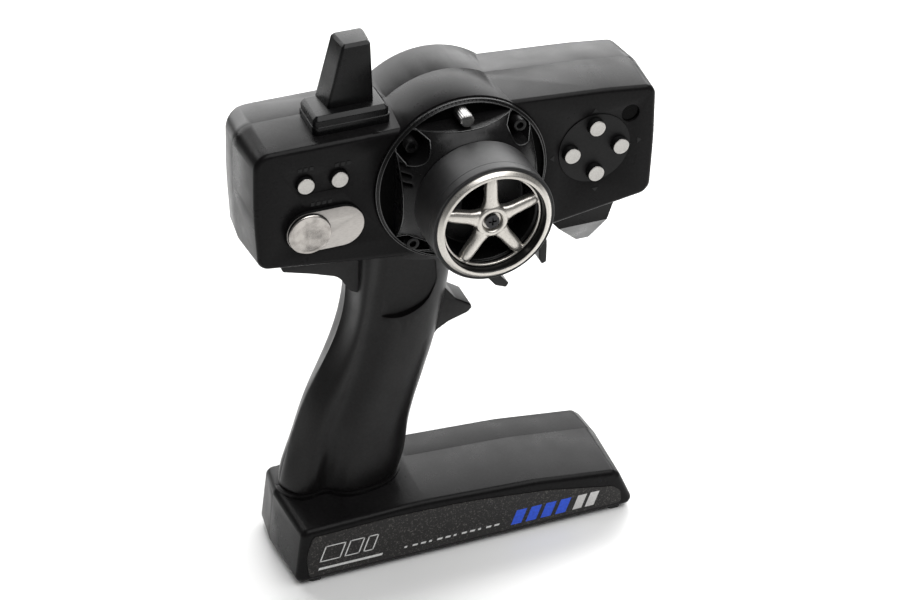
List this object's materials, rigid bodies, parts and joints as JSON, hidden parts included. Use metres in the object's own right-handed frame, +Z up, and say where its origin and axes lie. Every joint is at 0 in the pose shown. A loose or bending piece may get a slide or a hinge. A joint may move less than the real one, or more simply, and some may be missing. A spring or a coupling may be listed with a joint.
{
  "type": "radio transmitter",
  "caption": "Pistol-grip radio transmitter with a side steering wheel on a round drum, a wide control head, stub antenna, hooked trigger, shaped handle and a low battery base.",
  "frame": {"origin": "middle of the bounding box in X and Y, at the level the base's feet stand on", "axes": "+X forwards, from the handle to the trigger; +Y to the left, away from the wheel; +Z up"},
  "size_m": [0.1668, 0.0798, 0.236],
  "materials": {
    "shell_plastic": "fine spark-eroded texture, satin",
    "grip_plastic": "satin moulded",
    "trigger_plastic": "satin moulded",
    "antenna_plastic": "satin moulded",
    "plate_plastic": "satin moulded",
    "wheel_plastic": "satin moulded",
    "tyre_rubber": "matt",
    "feet_rubber": "matt",
    "ring_silver": "satin metallic paint",
    "spoke_silver": "satin metallic paint",
    "key_silver": "satin metallic paint",
    "slider_silver": "satin metallic paint",
    "disc_plastic": "smooth",
    "knob_plastic": "ribbed",
    "window_plastic": "smoked red, polished",
    "lamp_plastic": "clear red",
    "cover_plastic": "satin moulded",
    "label_film": "printed film",
    "shaft_steel": "ground",
    "screw_steel": "black zinc",
    "spring_steel": "bright wire",
    "contact_steel": "nickel plated",
    "bush_brass": "turned",
    "carrier_plastic": "moulded",
    "part_plastic": "moulded",
    "board_green": "solder resist",
    "module_can": "tinned can",
    "cell_wrap": "shrink sleeve",
    "lead_sleeve": "insulation"
  },
  "bodies": {
    "chassis": {"head_front_shell": "shell_plastic", "head_rear_shell": "shell_plastic", "base_front_shell": "shell_plastic", "base_rear_shell": "shell_plastic", "grip_right_shell": "grip_plastic", "grip_left_shell": "grip_plastic", "finger_rest": "grip_plastic", "antenna_base": "antenna_plastic", "antenna_blade": "antenna_plastic", "steering_plate": "plate_plastic", "base_feet": "feet_rubber", "power_plate": "slider_silver", "trim_disc": "disc_plastic", "status_window": "window_plastic", "status_lamp": "lamp_plastic", "base_label": "label_film", "steering_plate_screws": "screw_steel", "head_screws": "screw_steel", "grip_screws": "screw_steel", "base_screws": "screw_steel", "steering_spring": "spring_steel", "trigger_spring": "spring_steel", "battery_contacts": "contact_steel", "steering_bush": "bush_brass", "antenna_element": "bush_brass", "steering_carrier": "carrier_plastic", "trigger_bracket": "carrier_plastic", "battery_tray": "carrier_plastic", "steering_pot": "part_plastic", "rate_pot": "part_plastic", "throttle_pot": "part_plastic", "key_switches": "part_plastic", "power_switch": "part_plastic", "key_board": "board_green", "trim_board": "board_green", "main_board": "board_green", "radio_module": "module_can", "battery_cells": "cell_wrap", "battery_lead": "lead_sleeve"},
    "wheel": {"steering_shaft": "shaft_steel", "steering_stop_arm": "carrier_plastic", "wheel_core": "wheel_plastic", "wheel_tyre": "tyre_rubber", "wheel_trim_ring": "ring_silver", "wheel_star": "spoke_silver", "wheel_screw": "screw_steel"},
    "trigger_lever": {"trigger": "trigger_plastic", "trigger_pin": "shaft_steel"},
    "function_key": {"function_button": "key_silver"},
    "channel_key": {"channel_button": "key_silver"},
    "trim_up_key": {"trim_button_up": "key_silver"},
    "trim_down_key": {"trim_button_down": "key_silver"},
    "trim_left_key": {"trim_button_left": "key_silver"},
    "trim_right_key": {"trim_button_right": "key_silver"},
    "power_key": {"power_slider": "slider_silver"},
    "rate_dial": {"rate_knob": "knob_plastic"},
    "battery_door": {"battery_cover": "cover_plastic"}
  },
  "joints": [
    {"name": "wheel_turn", "type": "hinge", "parent": "chassis", "child": "wheel", "pos_m": [0.00085, -0.02125, 0.1762], "axis": [0, 1, 0], "range_deg": [-40, 40], "stiffness_Nm_per_rad": 0.05, "deforming": ["steering_spring"]},
    {"name": "trigger_pull", "type": "hinge", "parent": "chassis", "child": "trigger_lever", "pos_m": [0.03285, 0.01875, 0.1562], "axis": [0, 1, 0], "range_deg": [-9, 13], "stiffness_Nm_per_rad": 0.08, "deforming": ["trigger_spring"]},
    {"name": "function_press", "type": "slide", "parent": "chassis", "child": "function_key", "axis": [0, 1, 0], "range_m": [0, 0.0008], "stiffness_N_per_m": 300},
    {"name": "channel_press", "type": "slide", "parent": "chassis", "child": "channel_key", "axis": [0, 1, 0], "range_m": [0, 0.0008], "stiffness_N_per_m": 300},
    {"name": "trim_up_press", "type": "slide", "parent": "chassis", "child": "trim_up_key", "axis": [0, 1, 0], "range_m": [0, 0.0008], "stiffness_N_per_m": 300},
    {"name": "trim_down_press", "type": "slide", "parent": "chassis", "child": "trim_down_key", "axis": [0, 1, 0], "range_m": [0, 0.0008], "stiffness_N_per_m": 300},
    {"name": "trim_left_press", "type": "slide", "parent": "chassis", "child": "trim_left_key", "axis": [0, 1, 0], "range_m": [0, 0.0008], "stiffness_N_per_m": 300},
    {"name": "trim_right_press", "type": "slide", "parent": "chassis", "child": "trim_right_key", "axis": [0, 1, 0], "range_m": [0, 0.0008], "stiffness_N_per_m": 300},
    {"name": "power_slide", "type": "slide", "parent": "chassis", "child": "power_key", "axis": [1, 0, 0], "range_m": [0, 0.006]},
    {"name": "rate_turn", "type": "hinge", "parent": "chassis", "child": "rate_dial", "pos_m": [0.00006, -0.00925, 0.20654], "axis": [0, 1, 0], "range_deg": [-150, 150]},
    {"name": "battery_door_slide", "type": "slide", "parent": "chassis", "child": "battery_door", "axis": [1, 0, 0], "range_m": [0, 0.01]}
  ]
}
